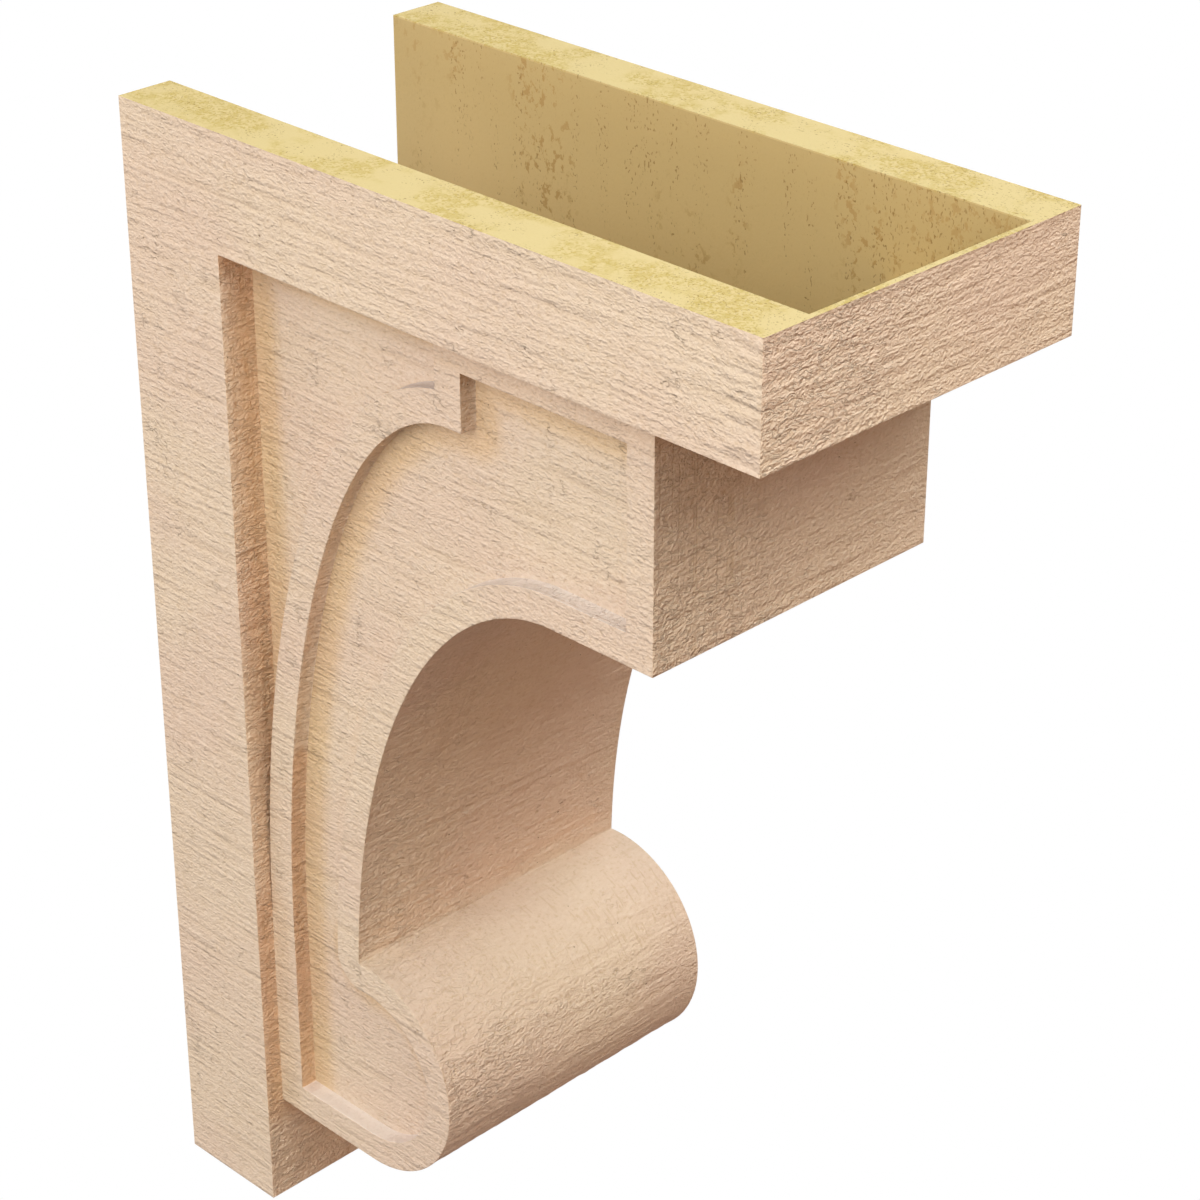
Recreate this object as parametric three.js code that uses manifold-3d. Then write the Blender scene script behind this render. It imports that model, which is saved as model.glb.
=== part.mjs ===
// Hollow moulded urethane corbel for the outside of a house.
// It is one moulding: a square frame of a leg and a bar, and behind it a narrower bracket body
// with a block, an arched underside and a round roll at its foot. Both flanks carry two sunk
// fields with a raised band round them. The shell is open at its top and at its back.
// Units are millimetres. X runs out from the wall, Y across the corbel and Z up.
import * as THREE from "three";
import { mergeVertices } from "three/addons/utils/BufferGeometryUtils.js";
import Module from "manifold-3d";

const wasm = await Module();
wasm.setup();

// Overall sizes
const overallWidth = 152.4;
const overallProjection = 304.8;
const overallHeight = 457.2;

// Frame: the leg against the wall and the bar along the top
const legDepth = 50.8;
const barHeight = 45.7;

// Bracket body behind the frame
const blockProjection = 254;
const blockHeight = 91.4;
const legBelowBody = 45.7;
const rollRadius = 45;
const rollFromWall = 105.4;

// Front arch, a quarter ellipse from the block down to the roll
const archFromWall = 101.3;
const archHalfSpan = 105.5;
const archRise = 193.8;

// Rear arch, the quarter ellipse that the raised rib follows
const rearArchHalfSpan = 95.4;
const rearArchRise = 241.3;
const stepFromWall = 165.1;
const stepDrop = 33.7;

// Relief on the flanks, measured inwards from the side of the frame
const ribSetBack = 7.8;
const fieldDepth = 7.1;
const ribWidth = 12.7;
const bandWidth = 12.2;
const railHeight = 11.7;

// Shell: the wall behind the sunk fields, the block, the arch and the roll, the thin lip across
// the front of the bar, and the closed foot of the leg
const shellWall = 8;
const frontLip = 2.4;
const footHeight = 22.9;

// Straight steps along each arch, round the corner between arch and roll, and round the roll
const archSteps = 28;
const cornerSteps = 6;
const rollSteps = 32;

// Heights, with the origin in the middle of the foot's back face
const bottomZ = -footHeight / 2;
const topZ = bottomZ + overallHeight;
const barBottomZ = topZ - barHeight;
const blockBottomZ = barBottomZ - blockHeight;
const bodyBottomZ = bottomZ + legBelowBody;
const rollZ = bodyBottomZ + rollRadius;
const archCentreX = archFromWall + archHalfSpan;
const archCentreZ = blockBottomZ - archRise;
const stepBottomZ = barBottomZ - stepDrop;
const rearArchFromWall = legDepth + ribWidth;
const rearArchCentreX = rearArchFromWall + rearArchHalfSpan;
const rearArchCentreZ = stepBottomZ - rearArchRise;

// Half widths across Y
const frameHalf = overallWidth / 2;
const ribHalf = frameHalf - ribSetBack;
const fieldHalf = ribHalf - fieldDepth;
const hollowHalf = fieldHalf - shellWall;

// A cutter runs this far past the face that it opens
const past = 10;

// Points closer than this are one point
const weld = 1e-4;

const point = (x, z) => new THREE.Vector2(x, z);

// Points of an ellipse from one angle to another, moved outwards along its normal by grow
function ellipsePoints(centreX, centreZ, radiusX, radiusZ, fromAngle, toAngle, steps, grow = 0) {
  const points = [];
  for (let i = 0; i <= steps; i++) {
    const angle = fromAngle + ((toAngle - fromAngle) * i) / steps;
    const normal = point(Math.cos(angle) / radiusX, Math.sin(angle) / radiusZ).normalize();
    points.push(
      point(
        centreX + radiusX * Math.cos(angle) + grow * normal.x,
        centreZ + radiusZ * Math.sin(angle) + grow * normal.y,
      ),
    );
  }
  return points;
}

// The inner corner where the arch runs down into the top of the roll
function archMeetsRoll() {
  let x = archFromWall;
  let z = rollZ;
  const settleRounds = 40;
  for (let i = 0; i < settleRounds; i++) {
    z = rollZ + Math.sqrt(Math.max(0, rollRadius ** 2 - (x - rollFromWall) ** 2));
    const rise = Math.max(0, (z - archCentreZ) / archRise);
    x = archCentreX - archHalfSpan * Math.sqrt(Math.max(0, 1 - rise ** 2));
  }
  return { corner: point(x, z), angle: Math.PI - Math.asin(Math.max(0, (z - archCentreZ) / archRise)) };
}

// The body's front line from the block's foot, along the arch and round the roll to the
// underside, moved into the body by inset
function frontLine(inset) {
  const { corner, angle } = archMeetsRoll();
  const arch = ellipsePoints(
    archCentreX, archCentreZ, archHalfSpan, archRise, Math.PI / 2, angle, archSteps, inset,
  );
  const toRoll = Math.atan2(rollZ - corner.y, rollFromWall - corner.x);
  const lastArchNormal = Math.atan2(Math.sin(angle) / archRise, Math.cos(angle) / archHalfSpan);
  const turn = inset > 0
    ? ellipsePoints(corner.x, corner.y, inset, inset, lastArchNormal, toRoll + 2 * Math.PI, cornerSteps)
    : [corner];
  const roll = ellipsePoints(
    rollFromWall, rollZ, rollRadius - inset, rollRadius - inset,
    toRoll + Math.PI, -Math.PI / 2, rollSteps,
  );
  return [...arch, ...turn, ...roll];
}

// Prism of an outline in X and Z between two values of Y
function prism(outline, fromY, toY) {
  const shape = new THREE.Shape(THREE.ShapeUtils.area(outline) > 0 ? outline : [...outline].reverse());
  const geometry = new THREE.ExtrudeGeometry(shape, { depth: toY - fromY, bevelEnabled: false });
  geometry.rotateX(Math.PI / 2);
  geometry.translate(0, toY, 0);
  return solid(geometry);
}

// Prism that is the same on both sides of the middle plane
const middlePrism = (outline, half) => prism(outline, -half, half);

// A closed geometry as a solid for cutting and joining
function solid(geometry) {
  geometry.deleteAttribute("normal");
  geometry.deleteAttribute("uv");
  const merged = mergeVertices(geometry, weld);
  return new wasm.Manifold(
    new wasm.Mesh({
      numProp: 3,
      vertProperties: merged.attributes.position.array,
      triVerts: new Uint32Array(merged.index.array),
    }),
  );
}

// Leg and bar, the full width of the corbel
const frameOutline = [
  point(0, bottomZ),
  point(legDepth, bottomZ),
  point(legDepth, barBottomZ),
  point(overallProjection, barBottomZ),
  point(overallProjection, topZ),
  point(0, topZ),
];

// Block, arch and roll, set in from the frame on both sides
const bodyOutline = [
  point(0, barBottomZ + past),
  point(blockProjection, barBottomZ + past),
  point(blockProjection, blockBottomZ),
  ...frontLine(0),
  point(0, bodyBottomZ),
];

// Sunk field inside the bands of the block, the arch and the roll
const fieldOutline = [
  point(stepFromWall, barBottomZ - railHeight),
  point(blockProjection - bandWidth, barBottomZ - railHeight),
  point(blockProjection - bandWidth, blockBottomZ + bandWidth),
  ...frontLine(bandWidth),
  point(rearArchFromWall, bodyBottomZ + bandWidth),
  ...ellipsePoints(
    rearArchCentreX, rearArchCentreZ, rearArchHalfSpan, rearArchRise, Math.PI, Math.PI / 2, archSteps,
  ),
  point(stepFromWall, stepBottomZ),
];

// Sunk field in the corner between the leg, the bar and the arched rib
const spandrelOutline = [
  point(legDepth, barBottomZ),
  point(stepFromWall - ribWidth, barBottomZ),
  point(stepFromWall - ribWidth, rearArchCentreZ),
  point(legDepth, rearArchCentreZ),
];
const ribOutline = [
  ...ellipsePoints(
    rearArchCentreX, rearArchCentreZ, rearArchHalfSpan, rearArchRise,
    Math.PI, Math.PI / 2, archSteps, ribWidth,
  ),
  point(stepFromWall, stepBottomZ + ribWidth),
  point(stepFromWall, rearArchCentreZ - past),
  point(legDepth, rearArchCentreZ - past),
];

// The hollow, open at the top and towards the wall
const hollowTopOutline = [
  point(-past, barBottomZ + shellWall),
  point(overallProjection - frontLip, barBottomZ + shellWall),
  point(overallProjection - frontLip, topZ + past),
  point(-past, topZ + past),
];
const hollowBodyOutline = [
  point(-past, topZ + past),
  point(blockProjection - shellWall, topZ + past),
  point(blockProjection - shellWall, blockBottomZ + shellWall),
  ...frontLine(shellWall),
  point(-past, bodyBottomZ + shellWall),
];
const hollowLegOutline = [
  point(-past, bottomZ + footHeight),
  point(legDepth - shellWall, bottomZ + footHeight),
  point(legDepth - shellWall, topZ + past),
  point(-past, topZ + past),
];

function corbelSolid() {
  let corbel = middlePrism(frameOutline, frameHalf).add(middlePrism(bodyOutline, ribHalf));
  const pockets = [
    [fieldOutline, null],
    [spandrelOutline, ribOutline],
  ];
  for (const [outline, kept] of pockets)
    for (const [fromY, toY] of [[-frameHalf - past, -fieldHalf], [fieldHalf, frameHalf + past]]) {
      let pocket = prism(outline, fromY, toY);
      if (kept) pocket = pocket.subtract(prism(kept, fromY - past, toY + past));
      corbel = corbel.subtract(pocket);
    }
  for (const outline of [hollowTopOutline, hollowBodyOutline, hollowLegOutline])
    corbel = corbel.subtract(middlePrism(outline, hollowHalf));
  return corbel;
}

// The solid's triangles as a flat-shaded geometry
function geometryOf(made) {
  const mesh = made.getMesh();
  const geometry = new THREE.BufferGeometry();
  geometry.setAttribute("position", new THREE.BufferAttribute(new Float32Array(mesh.vertProperties), 3));
  geometry.setIndex(new THREE.BufferAttribute(new Uint32Array(mesh.triVerts), 1));
  return geometry;
}

const primedUrethane = new THREE.MeshStandardMaterial({ color: 0xdcc2a2, roughness: 0.85, metalness: 0 });
primedUrethane.flatShading = true;

const corbel = new THREE.Mesh(geometryOf(corbelSolid()), primedUrethane);
corbel.name = "corbel";

const part = new THREE.Group();
part.add(corbel);

export default part;
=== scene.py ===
# Hollow moulded urethane corbel: rough-sawn primed skin, bare foam on the cut rims and inside.
import math
import bpy
import bmesh
from mathutils import Matrix, Vector
from mathutils.kdtree import KDTree


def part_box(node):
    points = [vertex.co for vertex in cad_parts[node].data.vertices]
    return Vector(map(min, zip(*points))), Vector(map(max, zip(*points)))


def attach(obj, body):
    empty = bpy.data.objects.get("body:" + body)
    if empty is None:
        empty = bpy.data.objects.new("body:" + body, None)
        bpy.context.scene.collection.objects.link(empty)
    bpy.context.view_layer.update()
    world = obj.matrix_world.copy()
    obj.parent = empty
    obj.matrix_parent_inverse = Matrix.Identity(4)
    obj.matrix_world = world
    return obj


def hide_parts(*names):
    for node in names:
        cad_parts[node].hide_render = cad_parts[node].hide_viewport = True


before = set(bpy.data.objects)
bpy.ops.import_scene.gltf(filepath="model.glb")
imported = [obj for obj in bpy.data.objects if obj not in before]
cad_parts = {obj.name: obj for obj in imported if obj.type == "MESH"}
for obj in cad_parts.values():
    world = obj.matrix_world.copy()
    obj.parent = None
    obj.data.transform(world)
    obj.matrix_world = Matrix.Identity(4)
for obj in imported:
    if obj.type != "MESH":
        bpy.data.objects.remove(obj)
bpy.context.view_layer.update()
corbelLow, corbelHigh = (Vector(corner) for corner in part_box("corbel"))
print("frame loaded", [round(v, 4) for v in corbelHigh - corbelLow])

# Camera: place and turn worked out from the corners of the corbel in the photograph
cameraSettings = {
    "fromTopBackCentre": (0.87909, -0.72375, 0.37165),  # metres from the middle of the top back edge
    "right": (0.710383, 0.703815, 0.000435),
    "down": (0.329911, -0.332444, -0.883538),
    "forward": (-0.621703, 0.627794, -0.468359),
    "focalPixels": 3214.4,
    "framePixels": 1200.0,
    "sensorMillimetres": 36.0,
    "clip": (0.05, 60.0),
}


def makeCamera(s):
    data = bpy.data.cameras.new("photoCamera")
    camera = bpy.data.objects.new("photoCamera", data)
    bpy.context.scene.collection.objects.link(camera)
    right, down, forward = Vector(s["right"]), Vector(s["down"]), Vector(s["forward"])
    turn = Matrix((right, -down, -forward)).transposed().to_4x4()
    origin = Vector((corbelLow.x, 0.0, corbelHigh.z)) + Vector(s["fromTopBackCentre"])
    camera.matrix_world = Matrix.Translation(origin) @ turn
    data.sensor_width = s["sensorMillimetres"]
    data.lens = s["sensorMillimetres"] * s["focalPixels"] / s["framePixels"]
    data.clip_start, data.clip_end = s["clip"]
    bpy.context.scene.camera = camera


makeCamera(cameraSettings)
print("camera placed")


def linear(colour):
    # Screen colour from 0 to 255 as the linear colour that sockets take
    shares = [v / 255.0 for v in colour]
    return (*(v / 12.92 if v <= 0.04045 else ((v + 0.055) / 1.055) ** 2.4 for v in shares), 1.0)


# Short names for the nodes that the relief and the materials are made of
def addNode(tree, kind, values=None, **settings):
    node = tree.nodes.new(kind)
    for name, value in settings.items():
        setattr(node, name, value)
    for key, value in (values or {}).items():
        if isinstance(value, bpy.types.NodeSocket):
            tree.links.new(value, node.inputs[key])
        else:
            node.inputs[key].default_value = value
    return node


def mathNode(tree, operation, first, second=0.0, clamp=False):
    values = {0: first, 1: second}
    return addNode(tree, "ShaderNodeMath", values, operation=operation, use_clamp=clamp).outputs[0]


def times(tree, first, second):
    return mathNode(tree, "MULTIPLY", first, second)


def plus(tree, first, second):
    return mathNode(tree, "ADD", first, second)


def minus(tree, first, second):
    return mathNode(tree, "SUBTRACT", first, second)


def larger(tree, first, second):
    return mathNode(tree, "MAXIMUM", first, second)


def absolute(tree, value):
    return mathNode(tree, "ABSOLUTE", value)


def vectorNode(tree, operation, first, second):
    return addNode(tree, "ShaderNodeVectorMath", {0: first, 1: second}, operation=operation).outputs[0]


def scaled(tree, vector, scale):
    values = {0: vector, "Scale": scale}
    return addNode(tree, "ShaderNodeVectorMath", values, operation="SCALE").outputs[0]


def apart(tree, vector):
    return addNode(tree, "ShaderNodeSeparateXYZ", {0: vector}).outputs


def mixNumbers(tree, factor, first, second):
    values = {0: factor, 2: first, 3: second}
    return addNode(tree, "ShaderNodeMix", values, data_type="FLOAT").outputs[0]


def mixColours(tree, factor, first, second, blend="MIX"):
    values = {0: factor, 6: first, 7: second}
    return addNode(tree, "ShaderNodeMix", values, data_type="RGBA", blend_type=blend).outputs[2]


def ramp(tree, value, low, high, toLow=0.0, toHigh=1.0, smooth=True):
    values = {0: value, 1: low, 2: high, 3: toLow, 4: toHigh}
    kind = "SMOOTHSTEP" if smooth else "LINEAR"
    return addNode(tree, "ShaderNodeMapRange", values, interpolation_type=kind, clamp=True).outputs[0]


# One reading of noise. A kind of mark in the settings is the lengths of its marks in mm, along
# and across the grain, and then the detail, roughness and shift of the noise
def noise(tree, place, lengths, detail=2.0, roughness=0.5, shift=0.0):
    place = vectorNode(tree, "DIVIDE", place, lengths)
    place = vectorNode(tree, "ADD", place, (shift, shift, shift))
    values = {"Vector": place, "Scale": 1.0, "Detail": detail, "Roughness": roughness}
    return addNode(tree, "ShaderNodeTexNoise", values, noise_dimensions="3D").outputs[0]


# Small sideways shifts that tear the marks of a pattern
def torn(tree, place, lengths, amount):
    values = {"Vector": vectorNode(tree, "DIVIDE", place, lengths), "Scale": 1.0, "Detail": 1.0}
    colour = addNode(tree, "ShaderNodeTexNoise", values).outputs["Color"]
    push = scaled(tree, vectorNode(tree, "SUBTRACT", colour, (0.5, 0.5, 0.5)), amount)
    return vectorNode(tree, "ADD", place, push)


# A reading as depth up and down from its middle value
def centred(tree, reading, depth):
    return times(tree, minus(tree, reading, 0.5), depth)


# Narrow lines where a reading passes through its middle value
def lines(tree, reading, width):
    return ramp(tree, absolute(tree, minus(tree, reading, 0.5)), 0.0, width, 1.0, 0.0)


# Value read off a list of (height in mm, value) stops
def lookup(tree, height, stops):
    low, high = stops[0][0], stops[-1][0]
    node = addNode(tree, "ShaderNodeValToRGB", {0: ramp(tree, height, low, high, smooth=False)})
    while len(node.color_ramp.elements) < len(stops):
        node.color_ramp.elements.new(0.5)
    for element, (place, value) in zip(node.color_ramp.elements, stops):
        element.position = (place - low) / (high - low)
        element.color = (value, value, value, 1.0)
    return apart(tree, node.outputs[0])[0]


# The sawn grain wanders a little. It runs out from the wall on the flanks and across the corbel
# on every other face
grainSettings = {
    "wander": 2.2,             # mm from side to side
    "wanderMarks": ((38.0, 14.0, 14.0), 1.0, 0.5, 3.7),
}


def grainPlace(tree, position, flank, s):
    # Place along and across the grain in mm, and plain place in mm
    x, y, z = apart(tree, scaled(tree, position, 1000.0))
    along = addNode(tree, "ShaderNodeCombineXYZ", {0: x, 1: z, 2: y}).outputs[0]
    across = addNode(tree, "ShaderNodeCombineXYZ", {0: y, 1: z, 2: x}).outputs[0]
    values = {0: flank, 4: across, 5: along}
    grain = addNode(tree, "ShaderNodeMix", values, data_type="VECTOR").outputs[1]
    drift = centred(tree, noise(tree, grain, *s["wanderMarks"]), s["wander"])
    wander = addNode(tree, "ShaderNodeCombineXYZ", {1: drift, 2: drift}).outputs[0]
    return vectorNode(tree, "ADD", grain, wander), x, y, z


# Moulded corbel: one closed piece in place of the CAD solid, in metres
mouldingSettings = {
    "edgeRound": 0.0003,       # radius of the moulded edges
    "curveStep": 0.002,        # length of a straight piece along the arches and the roll
    "spacing": (0.003, 0.003, 0.0016),  # mesh spacing of the skin along X, Y and Z
    "cutNear": 0.0002,         # a corner this near to a cut is put on it
    "flatAngle": 0.5,          # degrees between faces that count as one flat
    "sharpAngle": 40.0,        # degrees at an edge that gets rounded
    "flankNormal": 0.7,        # a face that points sideways more than this is on a flank
    "ledgeSlope": 0.3,         # a face that points up more than this is a ledge
    "rimFade": 0.0012,         # the relief dies out over this distance from a cut rim
    "edgeFade": 0.0030,        # and over this one from a sharp edge
    "cornerReach": 0.016,      # painted shade reaches this far from an inner corner, and the ledge reading this far from a ledge
    "planeApart": 6.0,         # stretches the gap between the flanks' planes
    "edgePointGap": 0.0008,    # between the points that an edge is found by
    "curvePoints": 6000,       # on each true curve
    "snap": 0.0004,            # a corner this near to a true curve is put on it
    # Driving sizes of the side view, the same as in the part's source
    "legDepth": 0.0508,
    "barHeight": 0.0457,
    "blockHeight": 0.0914,
    "legBelowBody": 0.0457,
    "rollFromWall": 0.1054,
    "rollRadius": 0.045,
    "archFromWall": 0.1013,
    "archRadii": (0.1055, 0.1938),
    "stepDrop": 0.0337,
    "rearArchRadii": (0.0954, 0.2413),
    "band": 0.0122,            # width of the raised band round the flank's field
    "rib": 0.0127,
    "wall": 0.008,
}


def curvePoints(centre, radii, grow, fromAngle, toAngle, steps):
    points = []
    for i in range(steps + 1):
        angle = fromAngle + (toAngle - fromAngle) * i / steps
        normal = Vector((math.cos(angle) / radii[0], math.sin(angle) / radii[1])).normalized()
        x = centre[0] + radii[0] * math.cos(angle) + grow * normal.x
        z = centre[1] + radii[1] * math.sin(angle) + grow * normal.y
        points.append((x, 0.0, z))
    return points


def finderOf(points):
    tree = KDTree(len(points))
    for index, point in enumerate(points):
        tree.insert(point, index)
    tree.balance()
    return tree


def smoothCurves(s):
    # Close-set points on every curve of the corbel's side view
    arch, rearArch = s["archRadii"], s["rearArchRadii"]
    roll = (s["rollRadius"], s["rollRadius"])
    barBottom = corbelHigh.z - s["barHeight"]
    rollCentre = (s["rollFromWall"], corbelLow.z + s["legBelowBody"] + s["rollRadius"])
    archCentre = (s["archFromWall"] + arch[0], barBottom - s["blockHeight"] - arch[1])
    rearArchCentre = (s["legDepth"] + s["rib"] + rearArch[0], barBottom - s["stepDrop"] - rearArch[1])
    rollTurn = (-0.5 * math.pi, 0.72 * math.pi)
    archTurn = (0.5 * math.pi, math.pi)
    points = []
    for grow in (0.0, -s["band"], -s["wall"]):
        points += curvePoints(rollCentre, roll, grow, *rollTurn, s["curvePoints"])
    for grow in (0.0, s["band"], s["wall"]):
        points += curvePoints(archCentre, arch, grow, *archTurn, s["curvePoints"])
    for grow in (0.0, s["rib"]):
        points += curvePoints(rearArchCentre, rearArch, grow, *archTurn, s["curvePoints"])
    return finderOf(points)


def copyOfNode(name, s):
    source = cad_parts[name]
    work = bmesh.new()
    work.from_mesh(source.data)
    bmesh.ops.transform(work, matrix=source.matrix_world, verts=work.verts)
    bmesh.ops.remove_doubles(work, verts=work.verts, dist=1e-6)
    flat = math.radians(s["flatAngle"])
    bmesh.ops.dissolve_limit(work, angle_limit=flat, verts=work.verts, edges=work.edges)
    return work


def slices(work, faces, axis, spacing, near):
    # Cut the faces at an even spacing along an axis
    geom = list(faces)
    geom += list({e for f in faces for e in f.edges})
    geom += list({v for f in faces for v in f.verts})
    length = corbelHigh[axis] - corbelLow[axis]
    count = round(length / spacing)
    normal = Vector([1.0 if i == axis else 0.0 for i in range(3)])
    for i in range(1, count):
        place = normal * (corbelLow[axis] + length * i / count)
        cut = bmesh.ops.bisect_plane(work, geom=geom, dist=near, plane_co=place, plane_no=normal)
        geom = cut["geom"]
    return [g for g in geom if isinstance(g, bmesh.types.BMFace)]


def roundCurves(work, s):
    # Finer straight pieces along the curved faces, with their corners put on the true curve
    curves = smoothCurves(s)
    curved = []
    for face in work.faces:
        if abs(face.normal.y) > 0.1 or len(face.verts) < 4:
            continue
        centre = face.calc_center_median()
        if curves.find((centre.x, 0.0, centre.z))[2] < s["snap"] and face.calc_area() > 0:
            curved.append(face)
    for axis in (0, 2):
        curved = slices(work, curved, axis, s["curveStep"], s["cutNear"])
    for vert in {v for f in curved for v in f.verts}:
        place, index, distance = curves.find((vert.co.x, 0.0, vert.co.z))
        if distance < s["snap"]:
            vert.co.x, vert.co.z = place.x, place.z


def isRim(face):
    centre = face.verts[0].co
    top = face.normal.z > 0.99 and abs(centre.z - corbelHigh.z) < 1e-5
    back = face.normal.x < -0.99 and abs(centre.x - corbelLow.x) < 1e-5
    return top or back


def markSkin(work, layer):
    # The skin is all that is joined to the front of the bar without passing a cut rim
    rims = {f for f in work.faces if isRim(f)}
    start = max(work.faces, key=lambda f: f.calc_center_median().x)
    start[layer] = 1
    found = [start]
    while found:
        for edge in found.pop().edges:
            for face in edge.link_faces:
                if face[layer] == 0 and face not in rims:
                    face[layer] = 1
                    found.append(face)


def roundEdges(work, layer, s):
    sharp = math.radians(s["sharpAngle"])
    edges = [e for e in work.edges if e.calc_face_angle() > sharp and all(f[layer] for f in e.link_faces)]
    bmesh.ops.bevel(work, geom=edges, offset=s["edgeRound"], offset_type="OFFSET", segments=2,
                    profile=0.5, affect="EDGES", clamp_overlap=False)


def edgeFinder(edges, gap, scaleY=1.0):
    # Close-set points along the edges, to measure how far away an edge is. A large scale across
    # the corbel keeps an edge apart from the faces that lie in other planes
    points = []
    for edge in edges:
        start, end = (v.co for v in edge.verts)
        count = max(1, math.ceil((end - start).length / gap))
        points += [start.lerp(end, i / count) for i in range(count + 1)]
    return finderOf([(p.x, p.y * scaleY, p.z) for p in points])


def edgeFinders(work, layer, s):
    # The sharp edges by what happens beside them
    sharp = [e for e in work.edges if e.calc_face_angle() > math.radians(s["sharpAngle"])]
    outer = [e for e in sharp if e.calc_face_angle_signed() > 0]
    inner = [e for e in sharp if all(f[layer] for f in e.link_faces) and e.calc_face_angle_signed() < 0]
    flankCornerShade = [e for e in inner if max(abs(f.normal.y) for f in e.link_faces) > s["flankNormal"]]
    ledges = [e for e in flankCornerShade if max(f.normal.z for f in e.link_faces) > s["ledgeSlope"]]
    # Inner corners beside the strips that face away from the wall or down
    strips = [e for e in flankCornerShade if e not in ledges
              and max(max(f.normal.x, -f.normal.z) for f in e.link_faces) > s["ledgeSlope"]]
    gap = s["edgePointGap"]
    return {
        "outer": edgeFinder(outer, gap),
        "inner": edgeFinder(inner, gap),
        "corner": edgeFinder([e for e in inner if e not in ledges], gap),
        "flankCorner": edgeFinder(strips, gap, s["planeApart"]),
        "ledge": edgeFinder(ledges, gap),
    }


def markMesh(work, layers, finders, s):
    # Which faces are flanks, and at each vertex how much relief there is and how near an inner
    # corner and a ledge are
    for face in work.faces:
        face[layers["flank"]] = 1.0 if abs(face.normal.y) > s["flankNormal"] else 0.0
        face.smooth = True
    for vert in work.verts:
        if not all(f[layers["skin"]] for f in vert.link_faces):
            continue
        fromRim = min(corbelHigh.z - vert.co.z, vert.co.x - corbelLow.x) / s["rimFade"]
        fromEdge = min(finders[name].find(vert.co)[2] for name in ("outer", "inner")) / s["edgeFade"]
        near = min(1.0, fromRim, fromEdge)
        vert[layers["fade"]] = near * near * (3.0 - 2.0 * near)
        if all(abs(f.normal.y) > s["flankNormal"] for f in vert.link_faces):
            place = (vert.co.x, vert.co.y * s["planeApart"], vert.co.z)
            fromCorner = finders["flankCorner"].find(place)[2]
        else:
            fromCorner = finders["corner"].find(vert.co)[2]
        fromLedge = finders["ledge"].find(vert.co)[2]
        vert[layers["corner"]] = max(0.0, 1.0 - fromCorner / s["cornerReach"])
        vert[layers["ledge"]] = max(0.0, 1.0 - fromLedge / s["cornerReach"])
    for edge in work.edges:
        edge.smooth = edge.calc_face_angle() < math.radians(s["sharpAngle"])


def mouldingMesh(s):
    work = copyOfNode("corbel", s)
    roundCurves(work, s)
    layers = {
        "skin": work.faces.layers.int.new("skin"),
        "flank": work.faces.layers.float.new("flank"),
        "fade": work.verts.layers.float.new("fade"),
        "corner": work.verts.layers.float.new("corner"),
        "ledge": work.verts.layers.float.new("ledge"),
    }
    markSkin(work, layers["skin"])
    finders = edgeFinders(work, layers["skin"], s)
    roundEdges(work, layers["skin"], s)
    faces = [f for f in work.faces if f[layers["skin"]]]
    for axis in (2, 1, 0):
        faces = slices(work, faces, axis, s["spacing"][axis], s["cutNear"])
    markMesh(work, layers, finders, s)
    bmesh.ops.triangulate(work, faces=[f for f in work.faces if len(f.verts) > 4])
    openEdges = sum(not e.is_manifold for e in work.edges)
    triangles = sum(len(f.verts) - 2 for f in work.faces)
    mesh = bpy.data.meshes.new("corbelMoulding")
    work.to_mesh(mesh)
    work.free()
    print("moulding mesh", triangles, "triangles", openEdges, "open edges")
    return mesh


# Rough-sawn relief of the mesh
reliefSettings = {
    "inputs": {                # depths in metres
        "Ridge depth": 0.00036,
        "Flank share": 0.4,
        "Groove depth": 0.00035,
        "Saw mark depth": 0.00015,
        "Seed": 4.0,
    },
    "ridges": ((9.0, 4.0, 4.0), 1.0, 0.5, 0.0),
    "grooves": ((26.0, 3.6, 3.6), 1.0, 0.5, 11.0),
    "groovePatches": ((60.0, 22.0, 22.0), 1.0, 0.5, 23.0),
    "sawMarks": ((6.5, 90.0, 90.0), 0.0, 0.5, 31.0),
    "grooveWidth": 0.06,       # as a part of the noise's range
}


def reliefDepth(tree, start, s):
    # How far the relief pushes the skin in
    def attribute(name):
        return addNode(tree, "GeometryNodeInputNamedAttribute", {"Name": name}, data_type="FLOAT").outputs[0]

    position = addNode(tree, "GeometryNodeInputPosition").outputs[0]
    grain = grainPlace(tree, position, attribute("flank"), grainSettings)[0]
    grain = vectorNode(tree, "ADD", grain, start.outputs["Seed"])
    ridges = ramp(tree, noise(tree, grain, *s["ridges"]), 0.3, 0.7, 1.0, 0.0)
    grooves = lines(tree, noise(tree, grain, *s["grooves"]), s["grooveWidth"])
    where = ramp(tree, noise(tree, grain, *s["groovePatches"]), 0.42, 0.7)
    sawMarks = ramp(tree, noise(tree, grain, *s["sawMarks"]), 0.35, 0.65)
    depth = times(tree, ridges, start.outputs["Ridge depth"])
    depth = plus(tree, depth, times(tree, times(tree, grooves, where), start.outputs["Groove depth"]))
    depth = plus(tree, depth, times(tree, sawMarks, start.outputs["Saw mark depth"]))
    share = mixNumbers(tree, attribute("flank"), 1.0, start.outputs["Flank share"])
    return times(tree, depth, times(tree, attribute("fade"), share))


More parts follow.
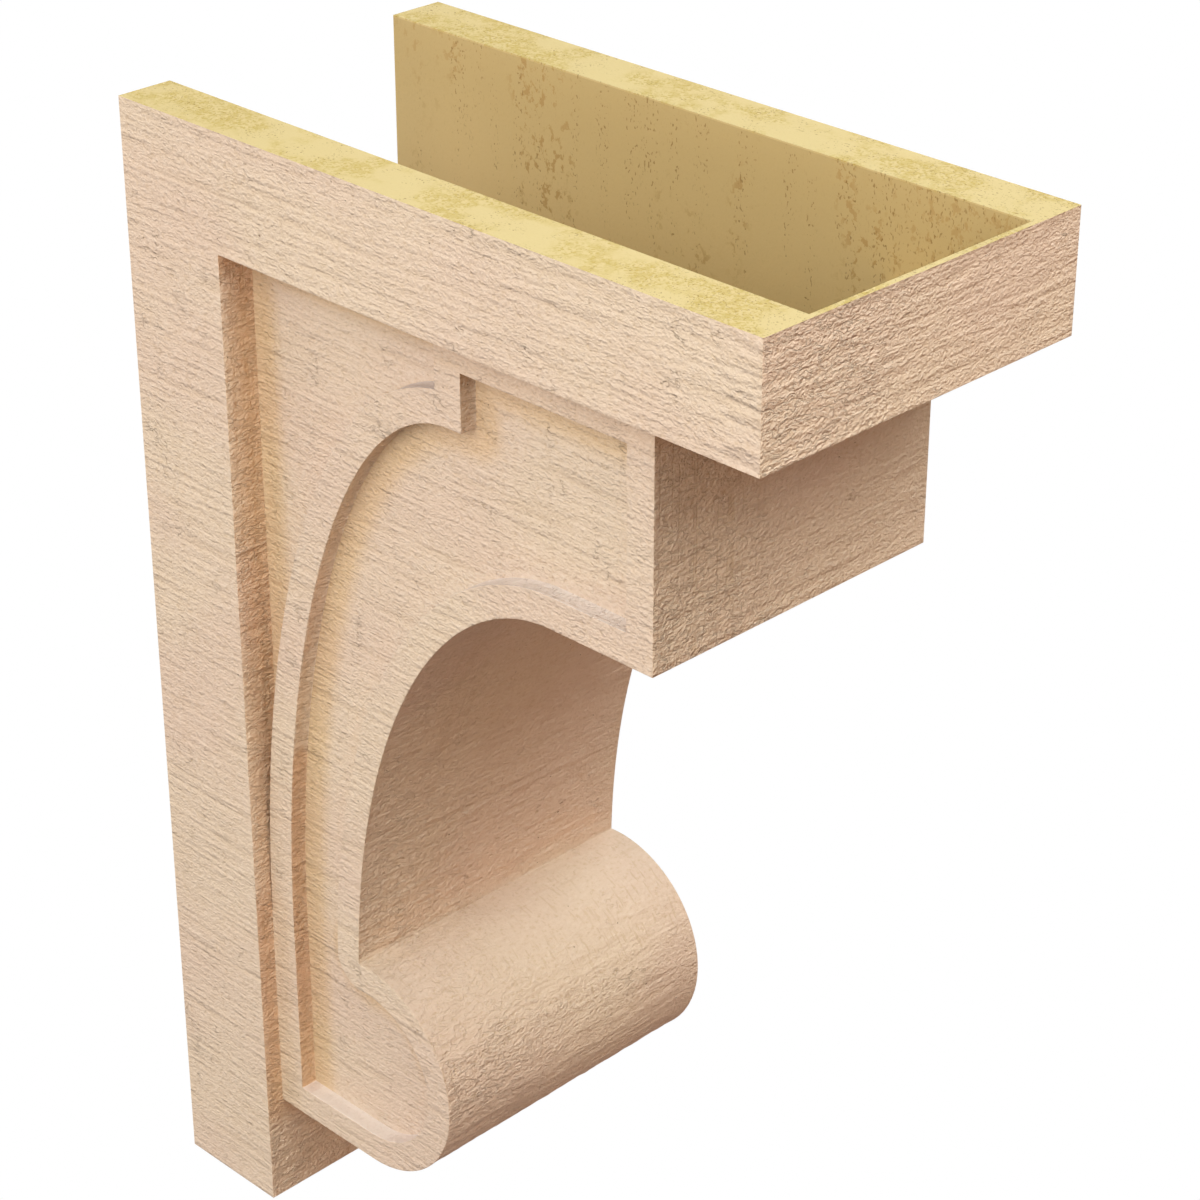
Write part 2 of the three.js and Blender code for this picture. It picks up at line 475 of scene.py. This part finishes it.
def reliefTree(s):
    # Node group that pushes the skin in and gives skin and foam their materials
    tree = bpy.data.node_groups.new("roughSawnRelief", "GeometryNodeTree")
    face = tree.interface
    face.new_socket("Geometry", in_out="INPUT", socket_type="NodeSocketGeometry")
    for name, value in s["inputs"].items():
        socket = face.new_socket(name, in_out="INPUT", socket_type="NodeSocketFloat")
        socket.default_value = value
    for name in ("Skin", "Foam"):
        face.new_socket(name, in_out="INPUT", socket_type="NodeSocketMaterial")
    face.new_socket("Geometry", in_out="OUTPUT", socket_type="NodeSocketGeometry")
    start = addNode(tree, "NodeGroupInput")
    inwards = times(tree, reliefDepth(tree, start, s), -1.0)
    offset = scaled(tree, addNode(tree, "GeometryNodeInputNormal").outputs[0], inwards)
    values = {"Geometry": start.outputs["Geometry"], "Offset": offset}
    moved = addNode(tree, "GeometryNodeSetPosition", values)
    realized = addNode(tree, "GeometryNodeRealizeInstances", {0: moved.outputs[0]})
    values = {0: realized.outputs[0], "Material": start.outputs["Foam"]}
    bare = addNode(tree, "GeometryNodeSetMaterial", values)
    skin = addNode(tree, "GeometryNodeInputNamedAttribute", {"Name": "skin"}, data_type="INT").outputs[0]
    isSkin = addNode(tree, "FunctionNodeCompare", {2: skin, 3: 0}, data_type="INT", operation="GREATER_THAN")
    values = {0: bare.outputs[0], "Selection": isSkin.outputs[0], "Material": start.outputs["Skin"]}
    primed = addNode(tree, "GeometryNodeSetMaterial", values)
    addNode(tree, "NodeGroupOutput", {0: primed.outputs[0]})
    return tree


def setInput(modifier, name, value):
    for item in modifier.node_group.interface.items_tree:
        if item.item_type == "SOCKET" and item.in_out == "INPUT" and item.name == name:
            modifier[item.identifier] = value


def applied(name, mesh, tree, values):
    # Object with the plain mesh that the node group makes of a mesh
    rough = bpy.data.objects.new(name + "Rough", mesh)
    bpy.context.scene.collection.objects.link(rough)
    modifier = rough.modifiers.new("relief", "NODES")
    modifier.node_group = tree
    for key, value in values.items():
        setInput(modifier, key, value)
    graph = bpy.context.evaluated_depsgraph_get()
    plain = bpy.data.meshes.new_from_object(rough.evaluated_get(graph), depsgraph=graph)
    rough.modifiers.remove(modifier)
    bpy.data.objects.remove(rough)
    piece = bpy.data.objects.new(name, plain)
    plain.name = name
    bpy.context.scene.collection.objects.link(piece)
    return piece


def newMaterial(name):
    material = bpy.data.materials.new(name)
    material.use_nodes = True
    tree = material.node_tree
    tree.nodes.clear()
    return material, tree


def finishMaterial(tree, colour, rough, height, specular):
    # Matte surface with its height given in mm
    bump = addNode(tree, "ShaderNodeBump", {"Strength": 1.0, "Distance": 0.001, "Height": height})
    shader = addNode(tree, "ShaderNodeBsdfPrincipled", {
        "Base Color": colour, "Roughness": rough, "Normal": bump.outputs[0], "Specular IOR Level": specular})
    addNode(tree, "ShaderNodeOutputMaterial", {"Surface": shader.outputs[0]})


def attributeNode(tree, name):
    return addNode(tree, "ShaderNodeAttribute", attribute_name=name).outputs["Fac"]


# Primed skin: warm tan primer over rough-sawn grain. Depths and places are in mm
skinSettings = {
    "primer": (230, 203, 174),
    "pinkPrimer": (228, 198, 172),
    # Painted highlight on the raised pebbles and the seam, painted shade in the grooves and creases, and
    # darker painted shade in the pits
    "paintedRidgeHighlight": (237, 213, 190),
    "paintedGrooveShade": (200, 165, 124),
    "pit": (120, 88, 64),
    "paintedCornerShade": (251, 242, 222),      # painted shade: multiplies the primer in the flanks' inner corners
    "shadeTone": (242, 228, 212),       # and in those of the faces across the grain
    "paintedShadeAboveLedge": (244, 248, 252),      # and just above a ledge
    # Painted light: paler, cooler primer on the ledges that face up, where light from above falls
    "paintedLedgeLight": (224, 217, 216),
    "roughness": 0.82,
    "specular": 0.3,
    # Shares of the tones
    "ridgeShare": 0.4,
    "seamShare": 0.8,
    "lowShare": 0.35,
    "creaseShare": 0.3,
    "furrowShare": 0.18,
    "sawLineShare": 0.4,
    "dashShare": 0.35,
    "pitShare": 0.85,
    "paintedLedgeLightShare": 0.5,
    # Depths of the marks
    "gritDepth": 0.38,
    "pebbleDepth": 0.82,
    "fibreDepth": 0.5,
    "longRidgeDepth": 1.25,
    "endRidgeDepth": 3.2,
    "creaseDepth": 0.42,
    "sawLineDepth": 0.24,
    "dashDepth": 0.07,
    "pitDepth": 0.3,
    "seamDepth": 0.5,
    # Relief of the flanks, the ledges and the leg's strip as shares of the other faces'
    "flankDepth": 1.08,
    "ledgeDepth": 0.45,
    "stripDepth": 1.25,
    "faceGrit": 0.9,                    # grit of the faces across the grain as a share of the flanks'
    "faceRidges": 0.65,                 # and their long ridges
    # Painted light on the leg's strip, as a share of the primer's brightness
    "stripPaintedLight": 1.05,
    "stripFromWall": 68.0,              # faces across the grain nearer the wall are the leg's
    "seamHeight": 283.0,                # cross seam of the mould on the leg's strip
    "endFromWall": (287.0, 293.0),      # the sawn ridges deepen between these, at the bar's end
    "fieldSide": 61.3,                  # the sunk fields lie this far from the middle plane
    "ribSide": 68.4,                    # and the faces of the ribs and bands this far
    "shadeHeight": (380.0, 390.0),      # shadeTone is there on the block above this
    # Two places across the corbel, and the shares at them on the faces across the grain
    "reliefAcross": (-45.0, 40.0, 1.15, 0.8),
    "creasesAcross": (-50.0, 10.0, 0.6, 0.12),
    "sawLinesAcross": (-30.0, -4.0, 1.0, 0.12),
    "flankCreases": 0.12,
    "stripSawLines": 0.8,
    # Widths, the first two as a part of the noise's range
    "creaseWidth": 0.022,
    "sawLineWidth": 0.028,
    "seamWidth": 0.9,
    # Lengths and amount of the shifts that tear the marks and bend the creases
    "tear": ((7.0, 4.0, 4.0), 0.5),
    "creaseBend": ((5.0, 5.0, 5.0), 3.0),
    # Kinds of marks
    "grit": ((1.15, 0.85, 0.85), 0.0, 0.5, 91.0),
    "pebbles": ((1.9, 1.45, 1.45), 2.0, 0.6, 5.0),
    "fibres": ((12.0, 1.9, 1.9), 1.0, 0.5, 0.0),
    "longRidges": ((130.0, 2.7, 2.7), 1.0, 0.5, 41.0),
    "endRidges": ((24.0, 4.4, 4.4), 1.0, 0.5, 83.0),
    "creases": ((8.0, 3.4, 3.4), 2.0, 0.5, 9.0),
    "creaseClusters": ((11.0, 16.0, 16.0), 2.0, 0.5, 77.0),
    "sawLines": ((8.0, 400.0, 400.0), 1.0, 0.5, 29.0),
    "dashes": ((1.3, 9.0, 9.0), 1.0, 0.5, 57.0),
    "pits": ((1.5, 1.3, 1.3), 0.0, 0.5, 51.0),
    "patches": ((44.0, 15.0, 15.0), 2.0, 0.5, 17.0),
    "breaks": ((22.0, 7.0, 7.0), 1.0, 0.5, 33.0),
    "bands": ((7.0, 70.0, 70.0), 1.0, 0.5, 71.0),
    "tones": ((90.0, 60.0, 60.0), 1.0, 0.5, 61.0),
    # Shares on the faces across the grain by height: foot, roll, arch, block and bar
    "reliefByHeight": [
        (-12.0, 1.2), (34.0, 1.2), (46.0, 0.8), (62.0, 1.3), (92.0, 1.3), (106.0, 0.6), (123.0, 0.4),
        (126.0, 1.3), (175.0, 1.1), (215.0, 0.8), (300.0, 0.8), (309.0, 1.75), (335.0, 1.6),
        (352.0, 1.05), (396.0, 0.9), (401.0, 1.4), (446.0, 1.4)],
    "sawLinesByHeight": [
        (-12.0, 0.1), (34.0, 0.1), (105.0, 0.3), (124.0, 0.3), (126.0, 0.15), (180.0, 0.3),
        (230.0, 0.7), (300.0, 0.6), (309.0, 1.0), (399.0, 1.0), (401.0, 0.0), (446.0, 0.0)],
    "fibresByHeight": [
        (-12.0, 0.5), (120.0, 0.3), (126.0, 0.7), (300.0, 0.7), (309.0, 0.4), (399.0, 0.4),
        (401.0, 0.45), (446.0, 0.45)],
    "dashesByHeight": [
        (-12.0, 0.0), (80.0, 0.0), (95.0, 1.0), (124.0, 1.0), (126.0, 0.2), (300.0, 0.5),
        (309.0, 0.5), (399.0, 0.5), (401.0, 0.0), (446.0, 0.0)],
    # Painted light and shade: darker on top of the roll, on the arch and on the block under the bar, lighter
    # low on the roll, at the block's foot and on the bar's front
    "paintedLightByHeight": [
        (-12.0, 1.0), (36.0, 1.06), (55.0, 1.08), (78.0, 1.0), (106.0, 0.91), (124.0, 0.9),
        (126.0, 0.97), (300.0, 0.94), (309.0, 1.05), (335.0, 0.98), (352.0, 0.88), (372.0, 0.79),
        (398.0, 0.72), (401.0, 1.05), (446.0, 1.05)],
}


def ledgeShare(tree, y, s):
    # Ledges of the flanks that face up, between the field and the face of the rib
    up = apart(tree, addNode(tree, "ShaderNodeNewGeometry").outputs["True Normal"])[2]
    side = absolute(tree, y)
    outside = ramp(tree, side, s["fieldSide"] - 0.2, s["fieldSide"] + 0.2)
    inside = ramp(tree, side, s["ribSide"] - 0.3, s["ribSide"] + 0.2, 1.0, 0.0)
    nearLedge = ramp(tree, attributeNode(tree, "ledge"), 0.3, 0.5)
    share = times(tree, times(tree, outside, inside), nearLedge)
    return times(tree, share, ramp(tree, up, 0.35, 0.8))


def skinPlace(tree, s):
    # Where a point of the skin lies, and the patches that its marks come and go in
    flank = attributeNode(tree, "flank")
    position = addNode(tree, "ShaderNodeTexCoord").outputs["Object"]
    grain, x, y, z = grainPlace(tree, position, flank, grainSettings)
    return {
        "flank": flank,
        "grain": grain,
        "torn": torn(tree, grain, *s["tear"]),
        "x": x,
        "y": y,
        "z": z,
        "strip": ramp(tree, x, s["stripFromWall"], s["stripFromWall"] + 1.0, 1.0, 0.0),
        "ledge": ledgeShare(tree, y, s),
        "patches": ramp(tree, noise(tree, grain, *s["patches"]), 0.38, 0.64),
        "breaks": ramp(tree, noise(tree, grain, *s["breaks"]), 0.4, 0.6, 0.3, 1.0),
    }


def depthShare(tree, at, s):
    # Depth of the grain as a share of the settings' depths
    share = mixNumbers(tree, at["strip"], lookup(tree, at["z"], s["reliefByHeight"]), s["stripDepth"])
    share = times(tree, share, ramp(tree, at["y"], *s["reliefAcross"]))
    share = mixNumbers(tree, at["flank"], share, s["flankDepth"])
    bands = ramp(tree, noise(tree, at["grain"], *s["bands"]), 0.58, 0.7)
    lively = plus(tree, ramp(tree, at["patches"], 0.0, 1.0, 0.9, 1.08), times(tree, bands, 0.3))
    share = times(tree, share, lively)
    return times(tree, share, ramp(tree, at["ledge"], 0.0, 1.0, 1.0, s["ledgeDepth"]))


def creaseLines(tree, at, s):
    # Short cracks in clusters, and more of them towards one side of the faces across the grain
    bent = torn(tree, at["grain"], *s["creaseBend"])
    creases = lines(tree, noise(tree, bent, *s["creases"]), s["creaseWidth"])
    clusters = ramp(tree, noise(tree, at["grain"], *s["creaseClusters"]), 0.6, 0.7)
    across = ramp(tree, at["y"], *s["creasesAcross"])
    everywhere = mixNumbers(tree, at["flank"], across, s["flankCreases"])
    return times(tree, creases, larger(tree, clusters, everywhere))


def sawLines(tree, at, s):
    # Thin broken lines that the saw left across the grain
    share = mixNumbers(tree, at["strip"], ramp(tree, at["y"], *s["sawLinesAcross"]), s["stripSawLines"])
    share = times(tree, lookup(tree, at["z"], s["sawLinesByHeight"]), share)
    share = mixNumbers(tree, at["flank"], share, 0.0)
    share = times(tree, share, ramp(tree, at["breaks"], 0.3, 1.0, 0.2, 1.0))
    cuts = lines(tree, noise(tree, at["grain"], *s["sawLines"]), s["sawLineWidth"])
    return times(tree, cuts, share)


def dashMarks(tree, at, s):
    # Short dashes across the grain, most of them on top of the roll
    dashes = ramp(tree, noise(tree, at["torn"], *s["dashes"]), 0.6, 0.68)
    share = mixNumbers(tree, at["flank"], lookup(tree, at["z"], s["dashesByHeight"]), 0.0)
    return times(tree, dashes, times(tree, share, at["patches"]))


def seamLine(tree, at, s):
    fromSeam = absolute(tree, minus(tree, at["z"], s["seamHeight"]))
    seam = times(tree, ramp(tree, fromSeam, 0.0, s["seamWidth"], 1.0, 0.0), at["strip"])
    return mixNumbers(tree, at["flank"], seam, 0.0)


def skinRelief(tree, s):
    # Height of the skin in mm, and the readings that its colour follows
    at = skinPlace(tree, s)
    flank = at["flank"]
    pebbles = noise(tree, at["torn"], *s["pebbles"])
    grit = centred(tree, noise(tree, at["grain"], *s["grit"]), s["gritDepth"])
    grit = times(tree, grit, mixNumbers(tree, flank, s["faceGrit"], 1.0))
    fibres = centred(tree, noise(tree, at["torn"], *s["fibres"]), s["fibreDepth"])
    faceFibres = lookup(tree, at["z"], s["fibresByHeight"])
    fibres = times(tree, fibres, mixNumbers(tree, flank, faceFibres, 1.0))
    longRidges = centred(tree, noise(tree, at["grain"], *s["longRidges"]), s["longRidgeDepth"])
    longRidges = times(tree, longRidges, at["breaks"])
    longRidges = times(tree, longRidges, mixNumbers(tree, flank, s["faceRidges"], 1.0))
    endRidges = centred(tree, noise(tree, at["torn"], *s["endRidges"]), s["endRidgeDepth"])
    endRidges = times(tree, endRidges, times(tree, ramp(tree, at["x"], *s["endFromWall"]), flank))
    creases = creaseLines(tree, at, s)
    height = centred(tree, pebbles, s["pebbleDepth"])
    for raised in (grit, fibres, longRidges, endRidges):
        height = plus(tree, height, raised)
    height = minus(tree, height, times(tree, creases, s["creaseDepth"]))
    height = times(tree, height, depthShare(tree, at, s))
    cuts = sawLines(tree, at, s)
    dashes = dashMarks(tree, at, s)
    pits = ramp(tree, noise(tree, at["grain"], *s["pits"]), 0.085, 0.12, 1.0, 0.0)
    for mark, depth in ((cuts, "sawLineDepth"), (pits, "pitDepth"), (dashes, "dashDepth")):
        height = minus(tree, height, times(tree, mark, s[depth]))
    seam = seamLine(tree, at, s)
    height = plus(tree, height, times(tree, seam, s["seamDepth"]))
    furrows = ramp(tree, longRidges, -0.02, -0.22)
    at.update(pebbles=pebbles, creases=creases, cuts=cuts, dashes=dashes, pits=pits, seam=seam,
              furrows=furrows)
    return height, at


def primerWithPaintedLight(tree, at, s):
    # Primer with painted highlights on the raised pebbles and the seam, painted shade in the grooves,
    # creases, saw lines, dashes and pits, and painted light and shade by height
    tone = ramp(tree, noise(tree, at["grain"], *s["tones"]), 0.35, 0.65)
    colour = mixColours(tree, tone, linear(s["primer"]), linear(s["pinkPrimer"]))
    high = ramp(tree, at["pebbles"], 0.5, 0.72, 0.0, s["ridgeShare"])
    high = larger(tree, high, times(tree, at["seam"], s["seamShare"]))
    # Painted highlight on the raised pebbles and on the seam
    colour = mixColours(tree, high, colour, linear(s["paintedRidgeHighlight"]))
    low = ramp(tree, at["pebbles"], 0.46, 0.28, 0.0, s["lowShare"])
    low = mathNode(tree, "ADD", low, times(tree, at["creases"], s["creaseShare"]), clamp=True)
    for name, share in (("furrows", "furrowShare"), ("cuts", "sawLineShare"), ("dashes", "dashShare")):
        low = larger(tree, low, times(tree, at[name], s[share]))
    # Painted shade in the low pebbles, creases, furrows, saw lines and dashes
    colour = mixColours(tree, low, colour, linear(s["paintedGrooveShade"]))
    # Painted shade in the pits
    colour = mixColours(tree, times(tree, at["pits"], s["pitShare"]), colour, linear(s["pit"]))
    # Painted light and shade by height on the faces across the grain, and painted light on the leg's strip
    share = mixNumbers(tree, at["strip"], lookup(tree, at["z"], s["paintedLightByHeight"]), s["stripPaintedLight"])
    return scaled(tree, colour, mixNumbers(tree, at["flank"], share, 1.0))


def paintedShadeAndLight(tree, colour, at, s):
    # Painted shade in the inner corners and just above the ledges, and painted pale light on the ledges that
    # face up
    flank, corner = at["flank"], attributeNode(tree, "corner")
    sunk = ramp(tree, absolute(tree, at["y"]), s["fieldSide"] + 1.7, s["fieldSide"] + 4.7, 1.0, 0.3)
    # Painted shade in the flanks' inner corners
    flankCornerShade = times(tree, ramp(tree, corner, 0.0, 0.6), times(tree, flank, sunk))
    colour = mixColours(tree, flankCornerShade, colour, linear(s["paintedCornerShade"]), "MULTIPLY")
    # Painted shade in the inner corners of the leg's strips and of the faces across the grain high on the
    # block and bar
    shaded = larger(tree, at["strip"], ramp(tree, at["z"], *s["shadeHeight"]))
    shaded = times(tree, shaded, minus(tree, 1.0, flank))
    faceCornerShade = times(tree, ramp(tree, corner, 0.0, 0.8), shaded)
    colour = mixColours(tree, faceCornerShade, colour, linear(s["shadeTone"]), "MULTIPLY")
    # Painted shade just above a ledge, cooling the field where the lit ledge throws warm light onto it
    paintedShadeAboveLedge = times(tree, ramp(tree, attributeNode(tree, "ledge"), 0.4, 1.0), flank)
    colour = mixColours(tree, paintedShadeAboveLedge, colour, linear(s["paintedShadeAboveLedge"]), "MULTIPLY")
    # Painted light on the ledges that face up
    ledgeLight = times(tree, at["ledge"], s["paintedLedgeLightShare"])
    return mixColours(tree, ledgeLight, colour, linear(s["paintedLedgeLight"]))


def skinMaterial(s):
    material, tree = newMaterial("primedSawnUrethane")
    height, at = skinRelief(tree, s)
    colour = paintedShadeAndLight(tree, primerWithPaintedLight(tree, at, s), at, s)
    rough = ramp(tree, at["pebbles"], 0.3, 0.7, s["roughness"] + 0.08, s["roughness"] - 0.06)
    finishMaterial(tree, colour, rough, height, s["specular"])
    return material


# Bare foam: pale yellow, mottled where the cut has bruised it, stained and specked inside. Places
# and depths are in mm, and the kinds of marks have their lengths along X, Y and Z
foamSettings = {
    "foam": (209, 183, 128),
    "inside": (194, 166, 112),
    "insideLow": (209, 181, 125),
    "lowToHigh": (395.0, 440.0),        # heights between which the inside's two tones mix
    "mottle": (190, 160, 86),
    "stain": (176, 138, 80),
    "speck": (140, 104, 52),
    "roughness": 0.9,
    "specular": 0.25,
    "bruisedShare": 0.55,               # shares of the tones
    "fineShare": 0.75,
    "stainShare": 0.7,
    "speckShare": 0.6,
    "frontFromWall": (228.0, 262.0),    # stains and specks gather beyond this
    "frontShare": 0.7,
    "rimDepth": 0.85,                   # the rim's finish starts this far below the top
    "grainDepth": 0.12,
    "tear": ((3.0, 3.0, 3.0), 2.0),     # lengths and amount of the shifts that tear the blotches
    "patches": ((30.0, 24.0, 90.0), 2.0, 0.6, 2.0),
    "blotches": ((3.4, 3.4, 4.4), 3.0, 0.65, 7.0),
    "grains": ((1.3, 1.3, 1.5), 1.0, 0.6, 13.0),
    "columns": ((9.0, 9.0, 130.0), 1.0, 0.5, 19.0),
    "specks": ((0.9, 0.9, 1.5), 1.5, 0.5, 23.0),
}


def foamMaterial(s):
    material, tree = newMaterial("bareFoam")
    place = scaled(tree, addNode(tree, "ShaderNodeTexCoord").outputs["Object"], 1000.0)
    x, y, z = apart(tree, place)
    rimStart = corbelHigh.z * 1000.0 - s["rimDepth"]
    rim = ramp(tree, z, rimStart, rimStart + 0.6)
    nearFront = ramp(tree, x, *s["frontFromWall"], 0.0, s["frontShare"])
    patches = noise(tree, place, *s["patches"])
    rimPatches = times(tree, ramp(tree, patches, 0.44, 0.58), rim)
    wallPatches = larger(tree, ramp(tree, patches, 0.5, 0.66), nearFront)
    blotches = noise(tree, torn(tree, place, *s["tear"]), *s["blotches"])
    grains = noise(tree, place, *s["grains"])
    bruised = times(tree, ramp(tree, blotches, 0.44, 0.58), rimPatches)
    fine = times(tree, ramp(tree, grains, 0.5, 0.62), rimPatches)
    stains = times(tree, ramp(tree, blotches, 0.55, 0.63), wallPatches)
    stains = times(tree, stains, minus(tree, 1.0, rim))
    columns = plus(tree, ramp(tree, noise(tree, place, *s["columns"]), 0.5, 0.62), nearFront)
    columns = plus(tree, columns, times(tree, patches, 0.25))
    specks = ramp(tree, noise(tree, place, *s["specks"]), 0.61, 0.69)
    specks = mathNode(tree, "MULTIPLY", specks, columns, clamp=True)
    colour = mixColours(tree, ramp(tree, z, *s["lowToHigh"]), linear(s["insideLow"]), linear(s["inside"]))
    colour = mixColours(tree, rim, colour, linear(s["foam"]))
    colour = mixColours(tree, times(tree, bruised, s["bruisedShare"]), colour, linear(s["mottle"]))
    colour = mixColours(tree, times(tree, fine, s["fineShare"]), colour, linear(s["mottle"]))
    colour = mixColours(tree, times(tree, stains, s["stainShare"]), colour, linear(s["stain"]))
    colour = mixColours(tree, times(tree, specks, s["speckShare"]), colour, linear(s["speck"]))
    height = times(tree, minus(tree, minus(tree, grains, specks), fine), s["grainDepth"])
    rough = ramp(tree, blotches, 0.3, 0.7, s["roughness"] - 0.06, s["roughness"] + 0.04)
    finishMaterial(tree, colour, rough, height, s["specular"])
    return material


skin = skinMaterial(skinSettings)
foam = foamMaterial(foamSettings)
relief = reliefTree(reliefSettings)
mesh = mouldingMesh(mouldingSettings)
inputs = {**reliefSettings["inputs"], "Skin": skin, "Foam": foam}
moulding = applied("corbelMoulding", mesh, relief, inputs)
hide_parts("corbel")
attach(moulding, "root")
print("moulding finished", len(moulding.data.polygons), [m.name for m in moulding.data.materials])

# Floor, sky and lamps
studioSettings = {
    "floorDrop": 0.55,            # the floor lies this far below the foot
    "floorSize": 40.0,
    "floorWhite": (1.0, 1.0, 1.0, 1.0),
    "skyStrength": 0.05,
    "spread": 0.93,               # side of a lamp as a share of its distance
    # Direction from the middle of the corbel, distance in metres, watts and colour of each soft lamp
    "lamps": {
        "frontLamp": ((0.25, -0.82, 0.50), 2.3, 48.5, (0.95, 1.0, 1.0)),
        "leftLamp": ((-0.70, -0.70, 0.05), 3.2, 44.5, (1.0, 0.93, 0.97)),
        "topLamp": ((0.50, 0.0, 0.87), 2.3, 47.0, (0.88, 0.97, 1.0)),
        "rightFill": ((1.0, 0.0, -0.18), 3.2, 25.0, (1.0, 0.42, 0.07)),
        "backLamp": ((0.0, 0.70, 0.70), 3.2, 64.0, (0.8, 0.92, 1.0)),
        "farFill": ((-0.3, 1.0, 0.1), 3.2, 34.0, (1.0, 0.93, 0.9)),
    },
}


def makeFloor(s):
    half = s["floorSize"] / 2
    z = corbelLow.z - s["floorDrop"]
    corners = [(-half, -half, z), (half, -half, z), (half, half, z), (-half, half, z)]
    mesh = bpy.data.meshes.new("floor")
    mesh.from_pydata(corners, [], [(0, 1, 2, 3)])
    floor = bpy.data.objects.new("floor", mesh)
    bpy.context.scene.collection.objects.link(floor)
    material, tree = newMaterial("floorPaint")
    glow = addNode(tree, "ShaderNodeEmission", {"Color": s["floorWhite"], "Strength": 1.0})
    addNode(tree, "ShaderNodeOutputMaterial", {"Surface": glow.outputs[0]})
    mesh.materials.append(material)
    floor.visible_diffuse = False
    floor.visible_shadow = False


def makeSky(s):
    # White where the camera sees it, and a weak light for the corbel
    world = bpy.data.worlds.new("studio")
    world.use_nodes = True
    bpy.context.scene.world = world
    tree = world.node_tree
    tree.nodes.clear()
    light = addNode(tree, "ShaderNodeBackground", {"Color": s["floorWhite"], "Strength": s["skyStrength"]})
    plain = addNode(tree, "ShaderNodeBackground", {"Color": s["floorWhite"], "Strength": 1.0})
    seen = addNode(tree, "ShaderNodeLightPath").outputs["Is Camera Ray"]
    both = addNode(tree, "ShaderNodeMixShader", {0: seen, 1: light.outputs[0], 2: plain.outputs[0]})
    addNode(tree, "ShaderNodeOutputWorld", {"Surface": both.outputs[0]})


def makeLamp(name, direction, distance, watts, colour, s):
    data = bpy.data.lights.new(name, "AREA")
    data.shape = "SQUARE"
    data.size = s["spread"] * distance
    data.energy = watts
    data.color = colour
    lamp = bpy.data.objects.new(name, data)
    bpy.context.scene.collection.objects.link(lamp)
    toLamp = Vector(direction).normalized()
    lamp.location = (corbelLow + corbelHigh) / 2 + toLamp * distance
    lamp.rotation_euler = toLamp.to_track_quat("Z", "Y").to_euler()
    lamp.visible_camera = False


makeFloor(studioSettings)
makeSky(studioSettings)
for name, lampValues in studioSettings["lamps"].items():
    makeLamp(name, *lampValues, studioSettings)
bpy.context.scene.view_settings.view_transform = "Standard"
print("studio lit")
